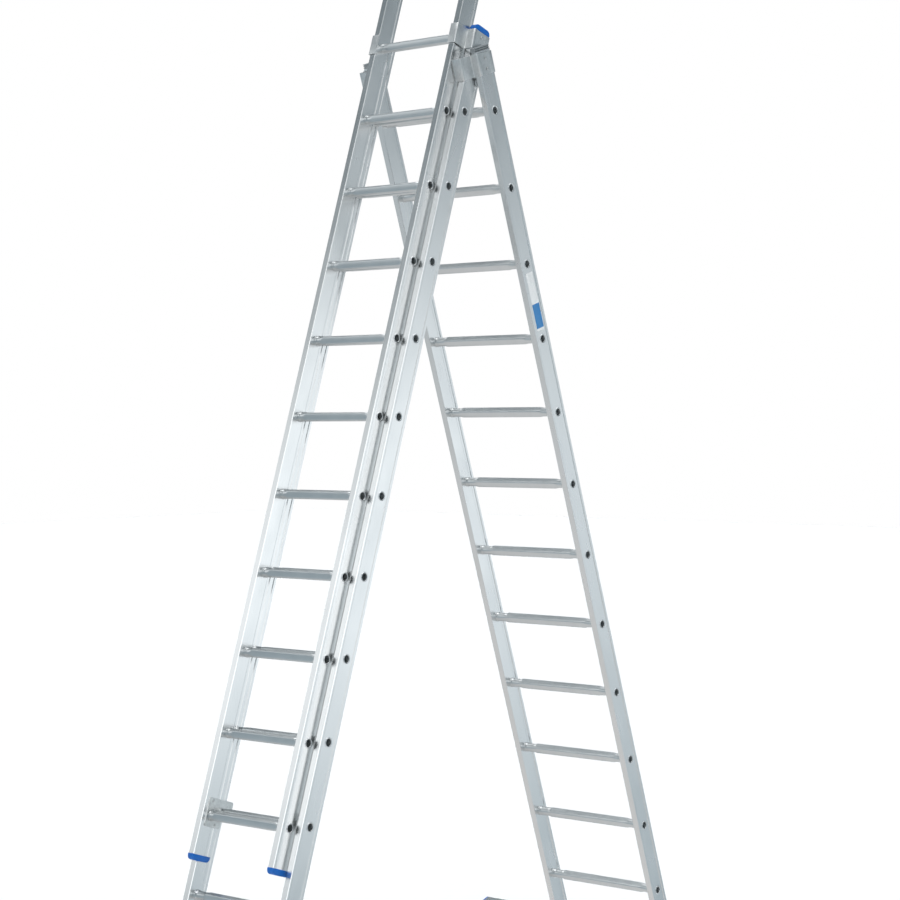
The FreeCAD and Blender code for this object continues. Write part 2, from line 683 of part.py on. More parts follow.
def bolt_place(side):
    """X and Y of the bolt under a lower stile."""
    return across(side, LOWER_WIDTH, "Sizes.stile_thick / 2"), BAR_MIDDLE


def low_plugs():
    """Plugs in the feet of the lower stiles, which take the stabiliser's bolts."""
    pieces = []
    for name, side in SIDES:
        part = doc.addObject("PartDesign::Body", "lower_low_plug_" + name)
        add_plug(part, side, "lower", -1, size("long_plug"))
        hole = sketch(part, "XY_Plane", ("0", "0", BAR_TOP))
        circle(hole, bolt_place(side), size("bolt_radius"))
        pocket(part, hole, "2 * Sizes.bolt_grip")
        pieces.append(part)
    return pieces


group("middle_top_caps", "front",
      caps("middle_top_cap", "middle", 1, size("cap_height"), size("cap_round")))
group("middle_feet", "front", front_feet())
group("upper_end_caps", "front",
      caps("upper_top_cap", "upper", 1, size("cap_height"), size("cap_round"))
      + caps("upper_low_cap", "upper", -1, size("cap_height"), size("cap_round")))
group("lower_end_plugs", "rear",
      caps("lower_top_plug", "lower", 1, size("top_plug_height"), size("edge_cut"))
      + low_plugs())


# --- hinge ------------------------------------------------------------------------------
def hinge(name, side):
    """Pin between a middle and a lower stile, and the spacer round it."""
    outer = "%s / 2" % MIDDLE_WIDTH
    gap = size("lower_side_gap")
    place = (PIVOT_DEPTH, "-" + PIVOT_DROP)
    pin_start = low_end(side, "%s - %s" % (outer, PIN_INSIDE),
                        "%s + %s + %s" % (outer, gap, PIN_INSIDE))
    pin = cylinder("hinge_pin_" + name, (pin_start,) + place,
                   "%s + 2 * %s" % (gap, PIN_INSIDE), size("pin_radius"))
    width = "(%s - Sizes.spacer_gap)" % gap
    start = (low_end(side, outer, "%s + %s" % (outer, width)),) + place
    ring = doc.addObject("Part::Cut", "hinge_spacer_" + name)
    ring.Base = cylinder("spacer_disc_" + name, start, width, size("spacer_radius"))
    ring.Tool = cylinder("spacer_hole_" + name, start, width, size("pin_radius"))
    return pin, ring


pins, spacers = zip(*[hinge(name, side) for name, side in SIDES])
group("hinge_pins", "front", list(pins))
group("hinge_spacers", "front", list(spacers))


# --- stabiliser bar ---------------------------------------------------------------------
def make_bar():
    part = body("stabiliser_bar", "rear")
    section_view = sketch(part, "YZ_Plane")
    rectangle(section_view, (BAR_FRONT, BAR_FOOT), (BAR_REAR, BAR_TOP))
    solid = pad(part, section_view, size("bar_length"), midplane=True)
    round_off(part, solid, size("bar_round"), edges_along(Vector(1, 0, 0)))
    inside = sketch(part, "YZ_Plane")
    wall = size("bar_wall")
    rectangle(inside, ("%s + %s" % (BAR_FRONT, wall), "%s + %s" % (BAR_FOOT, wall)),
              ("%s - %s" % (BAR_REAR, wall), "%s - %s" % (BAR_TOP, wall)))
    pocket(part, inside)
    holes = sketch(part, "XY_Plane", ("0", "0", BAR_TOP))
    for _, side in SIDES:
        circle(holes, bolt_place(side), size("bolt_radius"))
    pocket(part, holes)


def bar_foot(name, side):
    """Plastic foot under and round the end of the bar, with a plug in it and a level sole."""
    part = doc.addObject("PartDesign::Body", "stabiliser_foot_" + name)
    sole_front = "-%s - (%s) * tan(Sizes.lean)" % (LEG_REACH, BAR_FRONT)
    sole_rear = "-%s - %s * tan(Sizes.lean)" % (LEG_REACH, BAR_REAR)
    middle = "%d * ((Sizes.bar_length - Sizes.foot_long) / 2 + Sizes.foot_end)" % side
    sole = sketch(part, "YZ_Plane", ("0", "0", middle))
    outline(sole, [(BAR_FRONT, BAR_FOOT), (BAR_REAR, BAR_FOOT),
                   (BAR_REAR, sole_rear), (BAR_FRONT, sole_front)])
    pad(part, sole, size("foot_long"), midplane=True)
    end_middle = "%d * (Sizes.bar_length + Sizes.foot_end) / 2" % side
    end_plate = sketch(part, "YZ_Plane", ("0", "0", end_middle))
    rectangle(end_plate, (BAR_FRONT, BAR_FOOT), (BAR_REAR, BAR_TOP))
    plate = pad(part, end_plate, size("foot_end"), midplane=True)
    top = value(BAR_TOP)
    upper_edges = edges_along(Vector(1, 0, 0), lambda centre: centre.z > top - 0.01)
    round_off(part, plate, size("bar_round"), upper_edges)
    inset = "(Sizes.bar_wall + Sizes.plug_gap)"
    plug_middle = "%d * (Sizes.bar_length - Sizes.long_plug) / 2" % side
    plug = sketch(part, "YZ_Plane", ("0", "0", plug_middle))
    rectangle(plug, ("%s + %s" % (BAR_FRONT, inset), "%s + %s" % (BAR_FOOT, inset)),
              ("%s - %s" % (BAR_REAR, inset), "%s - %s" % (BAR_TOP, inset)))
    pad(part, plug, size("long_plug"), midplane=True)
    return part


def bar_bolt(name, side):
    """Bolt up through the bar into the plug of a lower stile."""
    place = bolt_place(side)
    shank = cylinder("bar_shank_" + name, place + (BAR_FOOT,),
                     "Sizes.bar_height + Sizes.bolt_grip", size("bolt_radius"), "z")
    head = cylinder("bar_head_" + name, place + ("%s - Sizes.bolt_head_high" % BAR_FOOT,),
                    size("bolt_head_high"), size("bolt_head"), "z")
    return joined("bar_bolt_" + name, [shank, head])


make_bar()
group("stabiliser_feet", "rear", [bar_foot(name, side) for name, side in SIDES])
group("stabiliser_bolts", "rear", [bar_bolt(name, side) for name, side in SIDES])


# --- finish and write -------------------------------------------------------------------
def nodes():
    """Sub-parts to write: bodies and groups that no group holds."""
    held = set()
    for item in doc.Objects:
        if item.TypeId == "Part::Compound":
            held.update(piece.Name for piece in item.Links)
    kinds = ("PartDesign::Body", "Part::Compound")
    return [item for item in doc.Objects if item.TypeId in kinds and item.Name not in held]


doc.recompute()
for item in doc.Objects:
    if "Invalid" in item.State or "Error" in item.State:
        raise RuntimeError("%s: %s" % (item.Name, item.State))
    if item.TypeId == "PartDesign::Pocket" and item.Shape.Volume >= item.BaseFeature.Shape.Volume:
        raise RuntimeError("%s cuts nothing" % item.Name)
for node in nodes():
    if node.Shape.isNull() or not node.Shape.isValid():
        raise RuntimeError("%s has no valid shape" % node.Label)
os.makedirs("parts", exist_ok=True)
for node in nodes():
    node.Shape.exportStep("parts/%s.step" % node.Label)
print(len(nodes()), "sub-parts written")
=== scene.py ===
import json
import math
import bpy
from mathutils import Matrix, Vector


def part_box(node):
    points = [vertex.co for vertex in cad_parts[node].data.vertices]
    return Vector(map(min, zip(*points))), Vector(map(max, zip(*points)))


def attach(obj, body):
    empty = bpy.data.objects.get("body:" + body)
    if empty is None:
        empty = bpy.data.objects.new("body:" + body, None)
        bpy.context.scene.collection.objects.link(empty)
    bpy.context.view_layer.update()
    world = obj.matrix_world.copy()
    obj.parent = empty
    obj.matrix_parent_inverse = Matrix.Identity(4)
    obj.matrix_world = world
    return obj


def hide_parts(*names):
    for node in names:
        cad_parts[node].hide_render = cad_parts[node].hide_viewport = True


bl_info = {
    "name": "Combination Ladder",
    "version": (1, 0, 0),
    "blender": (4, 5, 0),
    "location": "View3D > Sidebar > Ladder",
    "description": "Finishes and detailed pieces for an aluminium combination ladder",
    "category": "Object",
}

import bmesh
import bpy
from bpy.props import FloatProperty, FloatVectorProperty, PointerProperty
from mathutils import Matrix, Vector

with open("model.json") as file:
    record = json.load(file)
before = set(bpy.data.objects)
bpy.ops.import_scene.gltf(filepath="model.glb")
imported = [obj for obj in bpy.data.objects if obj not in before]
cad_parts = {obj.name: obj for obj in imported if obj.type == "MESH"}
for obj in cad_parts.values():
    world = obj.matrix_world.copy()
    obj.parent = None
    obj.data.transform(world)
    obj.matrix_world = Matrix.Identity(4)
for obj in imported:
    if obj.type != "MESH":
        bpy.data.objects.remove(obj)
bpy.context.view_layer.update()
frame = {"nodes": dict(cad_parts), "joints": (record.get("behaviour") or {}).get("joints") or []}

MM = 0.001
SIDES = (("left", -1), ("right", 1))
BODIES = {"lower": "lower_section", "middle": "middle_section", "upper": "upper_section"}


def linear(code):
    """Linear colour of an sRGB hex code."""
    parts = [int(code[start:start + 2], 16) / 255 for start in (1, 3, 5)]
    return tuple(part / 12.92 if part <= 0.04045 else ((part + 0.055) / 1.055) ** 2.4
                 for part in parts)


# --- places, from the frame ---------------------------------------------------------------
def middle_of(node):
    low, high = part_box(node)
    return (low + high) / 2


def joint(name):
    return [item for item in frame["joints"] if item["name"] == name][0]


UP_THE_LEG = Vector(joint("upper_slide")["axis"])
LEAN = math.atan2(UP_THE_LEG.y, UP_THE_LEG.z)
TOP_RUNG = middle_of("middle_rung_01")
APEX = Vector((0, 0, TOP_RUNG.z - TOP_RUNG.y / math.tan(LEAN)))
LEGS = {
    "front": Matrix.Translation(APEX) @ Matrix.Rotation(-LEAN, 4, "X"),
    "rear": Matrix.Translation(APEX) @ Matrix.Rotation(LEAN, 4, "X"),
}
LEG_OF = {"lower": "rear", "middle": "front", "upper": "front"}


def leg_box(node, leg):
    """Lowest and highest corners of a CAD node in its leg's own frame."""
    turn = LEGS[leg].inverted()
    points = [turn @ vertex.co for vertex in frame["nodes"][node].data.vertices]
    low = Vector([min(point[axis] for point in points) for axis in range(3)])
    high = Vector([max(point[axis] for point in points) for axis in range(3)])
    return low, high


# --- sizes and colours a user would change ------------------------------------------------
def length(name, description, default):
    return FloatProperty(name=name, description=description, default=default * MM, unit="LENGTH")


def colour(name, description, code):
    return FloatVectorProperty(name=name, description=description, default=linear(code),
                               subtype="COLOR", size=3, min=0, max=1)


class LadderSizes(bpy.types.PropertyGroup):
    rung_side: length("Rung side", "Side of the rung's square tube", 30)
    rung_corner: length("Rung corner", "Corner radius of the rung's tube", 6)
    flute_pitch: length("Flute pitch", "Groove to groove on the tread", 2.9)
    flute_depth: length("Flute depth", "Depth of the tread's grooves", 0.7)
    long_neck: length("Long neck", "Round neck beside the lower and middle stiles", 42)
    short_neck: length("Short neck", "Round neck beside the upper stiles", 20)
    neck_radius: length("Neck radius", "Round neck where a rung enters a stile", 14)
    upper_neck: length("Upper neck", "Radius of the upper rungs' necks, beside the stile", 16.5)
    middle_neck: length("Middle neck", "Radius of the middle rungs' necks, beside the stile", 15)
    lower_neck: length("Lower neck", "Radius of the lower rungs' necks, beside the stile", 16.2)
    bore_radius: length("Bore radius", "Open bore through the neck", 12)
    bead_radius: length("Bead radius", "Pressed bead against the stile", 18)
    bead_width: length("Bead width", "Width of that bead along the rung", 3)
    bead_blend: length("Bead blend", "Stretch over which the neck widens to that bead", 9)
    flare_radius: length("Flare radius", "Rolled rim on the stile's outer face", 16.5)
    flare_height: length("Flare height", "Rolled rim above the stile's web", 1.5)
    swage: length("Swage", "Stretch over which a square tube turns round", 15)
    web_recess: length("Web recess", "Depth of the stile's web below its lips", 2)
    bracket_wall: length("Bracket wall", "Wall of the guide brackets", 4)
    bracket_bend: length("Bracket bend", "Outer radius of the bracket's corners", 7)
    cap_edge: length("Cap edge", "Softness of the edges of moulded caps and feet", 1.6)
    bracket_play: length("Bracket play", "Gap between a bracket and the stile it guides", 1.5)
    channel_depth: length("Channel depth", "Shallow channel in the bracket's outer face", 1.6)
    front_lip: length("Front lip", "Raised lip in front of that channel", 11)
    rear_lip: length("Rear lip", "Wider raised lip behind that channel", 19.8)
    lower_bevel: length("Lower bevel", "Slant at the middle bracket's lower rear corner", 47)
    rivet_head: length("Rivet head", "Radius of a rivet's head", 5.5)
    rivet_dome: length("Rivet dome", "Height of a rivet's head", 2)
    cap_height: length("Cap height", "End cap past the stile", 20)
    cap_round: length("Cap round", "Round front and rear of an end cap", 14)
    skirt: length("Skirt", "Moulded skirt past the stile's faces", 0.6)
    plug_height: length("Plug height", "Grey plug past the lower stiles", 16)
    slot_height: length("Slot height", "Slots in the side of that plug", 4)
    slot_depth: length("Slot depth", "Depth of those slots", 5)
    foot_collar: length("Foot collar", "Front foot up round the stile", 6)
    bar_foot: length("Bar foot", "Length of the rear feet along the bar", 70)
    sole_groove: length("Sole groove", "Depth of the grooves in a sole", 2)
    label_width: length("Label width", "Width of the rating label", 40)
    label_length: length("Label length", "Length of the rating label", 215)
    label_thickness: length("Label thickness", "Thickness of the label's film", 0.25)


class LadderColours(bpy.types.PropertyGroup):
    stile: colour("Stile", "Anodised extruded aluminium of the stiles", "#EAEBEB")
    rung: colour("Rung", "Drawn aluminium of the rungs", "#DEE1E2")
    bracket: colour("Bracket", "Tumbled extruded aluminium of the brackets", "#E6E8E8")
    hook: colour("Hook", "Zinc-plated sheet of the hook plates", "#E0E2E1")
    fixing: colour("Fixing", "Plain rivets, pins and bolts", "#E4E5E4")
    cap: colour("Cap", "Blue polypropylene of caps and feet", "#0064BE")
    plug: colour("Plug", "Grey polyamide of the lower section's plugs", "#8B9194")
    spacer: colour("Spacer", "Grey polyamide of the hinge spacers", "#9DA3A6")
    label: colour("Label", "Printed film of the label", "#F1F3F3")
    label_band: colour("Label band", "Printed band of the label", "#3D86C4")
    floor: colour("Floor", "Studio floor", "#FFFFFF")


# --- materials ----------------------------------------------------------------------------
def add_node(tree, kind, inputs=None, **settings):
    """Node with its settings, and its inputs given as values or as sockets to link from."""
    node = tree.nodes.new(kind)
    for name, setting in settings.items():
        setattr(node, name, setting)
    for name, given in (inputs or {}).items():
        socket = node.inputs[name]
        if isinstance(given, bpy.types.NodeSocket):
            tree.links.new(given, socket)
        else:
            socket.default_value = given
    return node


def new_material(name):
    material = bpy.data.materials.new(name)
    material.use_nodes = True
    tree = material.node_tree
    return material, tree, tree.nodes["Principled BSDF"]


def grain(tree, turn, spacing, detail, roughness):
    """Pattern with grains of the given sizes in millimetres, on axes turned about X."""
    place = add_node(tree, "ShaderNodeTexCoord").outputs["Object"]
    turned = add_node(tree, "ShaderNodeMapping", {"Vector": place, "Rotation": (turn, 0, 0)})
    scale = [1 / (step * MM) for step in spacing]
    counted = add_node(tree, "ShaderNodeMapping",
                       {"Vector": turned.outputs["Vector"], "Scale": scale})
    return add_node(tree, "ShaderNodeTexNoise",
                    {"Vector": counted.outputs["Vector"], "Scale": 1.0, "Detail": detail,
                     "Roughness": roughness}).outputs["Fac"]


def wander(tree, shader, pattern, base, dark, light):
    """Base colour that wanders between a darker and a lighter tone with a pattern."""
    low = (*[part * dark for part in base], 1)
    high = (*[min(part * light, 1) for part in base], 1)
    factor = add_node(tree, "ShaderNodeMapRange",
                      {"Value": pattern, "From Min": 0.3, "From Max": 0.7}).outputs["Result"]
    # 6 and 7 are the colour inputs of this node
    mixed = add_node(tree, "ShaderNodeMix", {0: factor, 6: low, 7: high}, data_type="RGBA")
    tree.links.new(mixed.outputs[2], shader.inputs["Base Color"])


def wear(tree, shader, pattern, smooth, rough, relief, distance):
    """Roughness that wanders between two values with a pattern, and a relief as a bump whose
    distance is in millimetres."""
    sheen = add_node(tree, "ShaderNodeMapRange",
                     {"Value": pattern, "From Min": 0.3, "From Max": 0.7,
                      "To Min": smooth, "To Max": rough})
    raised = add_node(tree, "ShaderNodeBump",
                      {"Height": relief, "Distance": distance * MM, "Strength": 0.4})
    tree.links.new(sheen.outputs["Result"], shader.inputs["Roughness"])
    tree.links.new(raised.outputs["Normal"], shader.inputs["Normal"])


def extruded_aluminium(name, base, turn, along, gloss):
    """Extruded aluminium, clear anodised: die lines run the whole length of a bar, the colour
    hardly changes, and the sheen is satin with slow cloudy changes from the anodising bath."""
    material, tree, shader = new_material(name)
    # die lines are some tenths of a millimetre apart, drawn at 1.6 mm so that they show
    fine = [1.6, 1.6, 1.6]
    fine[along] = 900
    lines = grain(tree, turn, fine, 2, 0.5)
    clouds = grain(tree, turn, (120, 120, 260), 3, 0.55)
    wander(tree, shader, clouds, base, 0.95, 1.04)
    wear(tree, shader, clouds, gloss - 0.03, gloss + 0.05, lines, 0.01)
    shader.inputs["Metallic"].default_value = 1.0
    return material


def tumbled_aluminium(name, base):
    """Extruded aluminium cut short and tumbled: greyer and warmer than the stiles, with small
    soft dents and scuffs from the barrel."""
    material, tree, shader = new_material(name)
    dents = grain(tree, 0, (7, 7, 9), 4, 0.6)
    scuffs = grain(tree, 0.4, (1.4, 1.4, 12), 3, 0.6)
    wander(tree, shader, dents, base, 0.9, 1.06)
    wear(tree, shader, scuffs, 0.34, 0.5, dents, 0.2)
    shader.inputs["Metallic"].default_value = 1.0
    return material


def zinc_plated_steel(name, base):
    """Pressed steel sheet, bright zinc plated: pale, faintly clouded and scuffed."""
    material, tree, shader = new_material(name)
    spangle = grain(tree, 0, (6, 6, 6), 1, 0.5)
    scuffs = grain(tree, 0, (18, 18, 18), 4, 0.6)
    wander(tree, shader, spangle, base, 0.92, 1.05)
    wear(tree, shader, scuffs, 0.3, 0.46, scuffs, 0.1)
    shader.inputs["Metallic"].default_value = 1.0
    return material


def plain_metal(name, base):
    """Turned and headed aluminium: bright, with faint tool marks."""
    material, tree, shader = new_material(name)
    marks = grain(tree, 0, (1.5, 1.5, 1.5), 3, 0.6)
    wander(tree, shader, marks, base, 0.88, 1.04)
    wear(tree, shader, marks, 0.28, 0.42, marks, 0.03)
    shader.inputs["Metallic"].default_value = 1.0
    return material


def moulded_plastic(name, base, gloss, ior):
    """Injection-moulded plastic with a fine spark-eroded texture: even colour, soft highlight,
    slightly paler where it has been rubbed."""
    material, tree, shader = new_material(name)
    # the eroded grain is about 0.1 mm, drawn at 0.8 mm so that it shows
    eroded = grain(tree, 0, (0.8, 0.8, 0.8), 2, 0.5)
    rubbed = grain(tree, 0, (16, 16, 16), 4, 0.6)
    wander(tree, shader, rubbed, base, 0.92, 1.1)
    wear(tree, shader, rubbed, gloss - 0.06, gloss + 0.08, eroded, 0.06)
    shader.inputs["IOR"].default_value = ior
    return material


def printed_film(name, base, band, low, high):
    """Self-adhesive vinyl label: white, satin, with one printed colour band across its foot."""
    material, tree, shader = new_material(name)
    place = add_node(tree, "ShaderNodeTexCoord").outputs["Object"]
    height = add_node(tree, "ShaderNodeSeparateXYZ", {"Vector": place}).outputs["Z"]
    inside = add_node(tree, "ShaderNodeMath", {0: height, 1: low}, operation="GREATER_THAN")
    below = add_node(tree, "ShaderNodeMath", {0: height, 1: high}, operation="LESS_THAN")
    mask = add_node(tree, "ShaderNodeMath", {0: inside.outputs[0], 1: below.outputs[0]},
                    operation="MULTIPLY")
    # 6 and 7 are the colour inputs of this node
    mixed = add_node(tree, "ShaderNodeMix",
                     {0: mask.outputs[0], 6: (*base, 1), 7: (*band, 1)}, data_type="RGBA")
    tree.links.new(mixed.outputs[2], shader.inputs["Base Color"])
    ripple = grain(tree, 0, (9, 9, 9), 2, 0.5)
    wear(tree, shader, ripple, 0.33, 0.38, ripple, 0.04)
    return material


def studio_floor(name, base):
    """Matt painted floor of a photo studio, with faint roller mottle."""
    material, tree, shader = new_material(name)
    wander(tree, shader, grain(tree, 0, (60, 60, 60), 3, 0.5), base, 0.985, 1.0)
    shader.inputs["Roughness"].default_value = 0.85
    return material


def dress(node, material):
    """Give a CAD node its finish."""
    slots = frame["nodes"][node].material_slots
    for slot in slots:
        slot.material = material


# --- mesh helpers -------------------------------------------------------------------------
def add_piece(name, mesh, material, body, matrix=None, replaced=()):
    """Piece in the scene that rides on a body and may stand for CAD nodes."""
    if not mesh.materials:
        mesh.materials.append(material)
    piece = bpy.data.objects.new(name, mesh)
    bpy.context.scene.collection.objects.link(piece)
    piece.matrix_world = matrix or Matrix.Identity(4)
    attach(piece, body)
    if replaced:
        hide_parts(*replaced)
    return piece


def finish_mesh(name, builder, smooth_below=40, leg=None):
    """Mesh from a bmesh, with smooth shading except over edges sharper than an angle. A mesh
    built in a leg's own frame is brought to its place."""
    bmesh.ops.recalc_face_normals(builder, faces=builder.faces)
    limit = math.radians(smooth_below)
    for face in builder.faces:
        face.smooth = True
    for edge in builder.edges:
        if len(edge.link_faces) == 2 and edge.calc_face_angle() > limit:
            edge.smooth = False
    mesh = bpy.data.meshes.new(name)
    builder.to_mesh(mesh)
    builder.free()
    if leg:
        mesh.transform(LEGS[leg])
    return mesh


def ring_skin(builder, loops):
    """Skin of quads over a ring of closed loops; the last loop joins the first."""
    rows = [[builder.verts.new(point) for point in loop] for loop in loops]
    for row, after in zip(rows, rows[1:] + rows[:1]):
        for index in range(len(row)):
            following = (index + 1) % len(row)
            builder.faces.new((row[index], row[following], after[following], after[index]))


def arc(centre, radius, start, end, steps):
    """Points of an arc in a plane, angles in degrees."""
    angles = [math.radians(start + (end - start) * step / steps) for step in range(steps + 1)]
    return [(centre[0] + radius * math.cos(angle), centre[1] + radius * math.sin(angle))
            for angle in angles]


def rounded(points, radii, steps=6):
    """Closed outline whose corners are rounded to the given radii."""
    outline = []
    count = len(points)
    for index, (point, radius) in enumerate(zip(points, radii)):
        corner = Vector(point)
        before = (Vector(points[index - 1]) - corner).normalized()
        after = (Vector(points[(index + 1) % count]) - corner).normalized()
        if radius <= 0:
            outline.append(tuple(corner))
            continue
        half = before.angle(after) / 2
        setback = radius / math.tan(half)
        start = corner + before * setback
        end = corner + after * setback
        centre = corner + (before + after).normalized() * (radius / math.sin(half))
        first = math.atan2(start.y - centre.y, start.x - centre.x)
        sweep = math.atan2(end.y - centre.y, end.x - centre.x) - first
        sweep = (sweep + math.pi) % (2 * math.pi) - math.pi
        for step in range(steps + 1):
            angle = first + sweep * step / steps
            outline.append((centre.x + radius * math.cos(angle),
                            centre.y + radius * math.sin(angle)))
    return outline


def soft_prism(builder, outline, low, high, edge, place):
    """Closed prism over an outline, its two rims bevelled. The place function puts a point of
    the outline at a distance along the prism."""
    top = [builder.verts.new(place(point, high)) for point in outline]
    foot = [builder.verts.new(place(point, low)) for point in outline]
    faces = [builder.faces.new(top), builder.faces.new(list(reversed(foot)))]
    for index in range(len(outline)):
        following = (index + 1) % len(outline)
        faces.append(builder.faces.new((foot[index], foot[following],
                                        top[following], top[index])))
    rims = list({rim for face in faces[:2] for rim in face.edges})
    bmesh.ops.bevel(builder, geom=rims, offset=edge, segments=3, profile=0.5,
                    affect="EDGES", clamp_overlap=True)


def side_view(point, across):
    """Outline in depth and height, with its thickness along X."""
    return Vector((across, point[0], point[1]))


def plan_view(point, along):
    """Outline in X and depth, with its length up the leg."""
    return Vector((point[0], point[1], along))


# --- rungs --------------------------------------------------------------------------------
def tread_outline(sizes):
    """Rounded square, in Y and Z, with fine grooves on its tread and its underside."""
    half = sizes.rung_side / 2
    flat = half - sizes.rung_corner
    grooves = round(2 * flat / sizes.flute_pitch)
    steps = 4 * grooves
    points = []
    for sign, start in ((1, 90), (-1, 270)):
        for step in range(steps):
            dip = sizes.flute_depth * (1 - math.cos(2 * math.pi * step * grooves / steps)) / 2
            offset = flat - 2 * flat * step / steps
            points.append((sign * offset, sign * (half - dip)))
        points += arc((-sign * flat, sign * flat), sizes.rung_corner, start, start + 90, 4)
        points.append((-sign * half, 0))
        points += arc((-sign * flat, -sign * flat), sizes.rung_corner, start + 90, start + 180, 4)
    return points


def rung_mesh(section, sizes):
    """Rung along X: fluted square tube, drawn down to a round neck at each end, with a pressed
    bead inside the stile and a rolled rim outside it."""
    outline = tread_outline(sizes)
    directions = [Vector(point).normalized() for point in outline]
    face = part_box(section + "_stile_right")[0].x
    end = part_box(section + "_rung_01")[1].x
    web = end - sizes.flare_height
    neck = sizes.short_neck if section == "upper" else sizes.long_neck
    tube = face - neck
    radius = sizes.neck_radius
    full = getattr(sizes, section + "_neck")
    bead = sizes.bead_radius
    # each station is a place along X, how round the section is, and its round radius
    stations = [(tube - sizes.swage * (1 - part), part, full)
                for part in (0, 0.15, 0.35, 0.55, 0.75, 0.9, 1)]
    blend = face - sizes.bead_width - sizes.bead_blend
    stations += [(blend + share * sizes.bead_blend, 1,
                  full + (bead - full) * (1 - math.cos(math.pi * share)) / 2)
                 for share in (0, 0.2, 0.4, 0.6, 0.8, 1)]
    # the bead's soft edge, and the neck through the stile
    stations += [(face - 0.4 * sizes.bead_width, 1, bead - 0.1 * MM),
                 (face, 1, bead - 0.6 * MM),
                 (face, 1, radius),
                 (web, 1, radius)]
    # the rolled rim, and the mouth of the bore
    stations += [(web, 1, sizes.flare_radius - 0.4 * MM),
                 (web + 0.5 * sizes.flare_height, 1, sizes.flare_radius),
                 (end, 1, sizes.flare_radius - 0.8 * MM),
                 (end, 1, sizes.bore_radius + 1.2 * MM),
                 (end - 0.7 * MM, 1, sizes.bore_radius + 0.3 * MM),
                 (end - 2 * MM, 1, sizes.bore_radius)]

    def loop(place, part, round_radius):
        ease = part * part * (3 - 2 * part)
        points = []
        for point, direction in zip(outline, directions):
            flat = Vector(point).lerp(direction * round_radius, ease)
            points.append(Vector((place, flat.x, flat.y)))
        return points

    half = [loop(*station) for station in stations]
    mirrored = [[Vector((-point.x, point.y, point.z)) for point in ring] for ring in reversed(half)]
    builder = bmesh.new()
    ring_skin(builder, mirrored + half)
    return finish_mesh(section + "_rung", builder)


class LADDER_OT_rungs(bpy.types.Operator):
    """Build the fluted rungs of the three sections"""
    bl_idname = "ladder.rungs"
    bl_label = "Rungs"

    def execute(self, context):
        sizes = context.scene.ladder_sizes
        tone = context.scene.ladder_colours.rung
        metal = extruded_aluminium("Drawn aluminium, anodised", tone, 0, 0, 0.33)
        for section, body in BODIES.items():
            mesh = rung_mesh(section, sizes)
            turn = 2 * LEAN if section == "lower" else 0
            for node in sorted(frame["nodes"]):
                if not node.startswith(section + "_rung_"):
                    continue
                place = Matrix.Translation(middle_of(node)) @ Matrix.Rotation(turn, 4, "X")
                add_piece(node + "_fluted", mesh, metal, body, place, (node,))
        return {"FINISHED"}


# --- stiles -------------------------------------------------------------------------------
class LADDER_OT_stiles(bpy.types.Operator):
    """Finish the stiles and the stabiliser bar in anodised aluminium"""
    bl_idname = "ladder.stiles"
    bl_label = "Stiles and bar"

    def execute(self, context):
        tone = context.scene.ladder_colours.stile
        front = extruded_aluminium("Extruded aluminium, front leg", tone, LEAN, 2, 0.24)
        rear = extruded_aluminium("Extruded aluminium, rear leg", tone, -LEAN, 2, 0.24)
        bar = extruded_aluminium("Extruded aluminium, cross bar", tone, -LEAN, 0, 0.26)
        for section in BODIES:
            for name, _ in SIDES:
                dress("%s_stile_%s" % (section, name), rear if section == "lower" else front)
        dress("stabiliser_bar", bar)
        return {"FINISHED"}


# --- brackets -----------------------------------------------------------------------------
def bracket_outline(side, guided, node, leg, sizes):
    """Stepped wall in X and depth: past the carrying stile's outer face, across its front,
    forward beside the guided stile and in across that stile's front. The outer face has a
    shallow channel between two lips, and the bends are round."""
    low, high = leg_box(node, leg)
    wall = sizes.bracket_wall
    outer = max(abs(low.x), abs(high.x))
    tip = min(abs(low.x), abs(high.x))
    beside = max(abs(corner.x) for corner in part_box(guided)) + sizes.bracket_play
    rear, front = high.y, low.y
    step = -rear - wall
    channel = sizes.channel_depth
    slope = 1.6 * channel
    soft = slope / 3
    bend, inner_bend, end = sizes.bracket_bend, sizes.bracket_bend - wall, 0.8 * MM
    corners = [
        ((outer - wall, rear), end),
        ((outer, rear), end),
        ((outer, rear - sizes.rear_lip), soft),
        ((outer - channel, rear - sizes.rear_lip - slope), soft),
        ((outer - channel, step + sizes.front_lip + slope), soft),
        ((outer, step + sizes.front_lip), soft),
        ((outer, step), bend),
        ((beside + wall, step), inner_bend),
        ((beside + wall, front), bend),
        ((tip, front), end),
        ((tip, front + wall), end),
        ((beside, front + wall), inner_bend),
        ((beside, -rear), bend),
        ((outer - wall, -rear), inner_bend),
    ]
    points = [(side * x, depth) for (x, depth), _ in corners]
    return rounded(points, [radius for _, radius in corners], 4), low.z, high.z


def cut_corner(builder, point, normal):
    """Slice off what lies beyond a plane, and close the cut."""
    geometry = builder.verts[:] + builder.edges[:] + builder.faces[:]
    cut = bmesh.ops.bisect_plane(builder, geom=geometry, plane_co=point, plane_no=normal,
                                 clear_outer=True)
    rim = [item for item in cut["geom_cut"] if isinstance(item, bmesh.types.BMEdge)]
    bmesh.ops.edgenet_fill(builder, edges=rim)


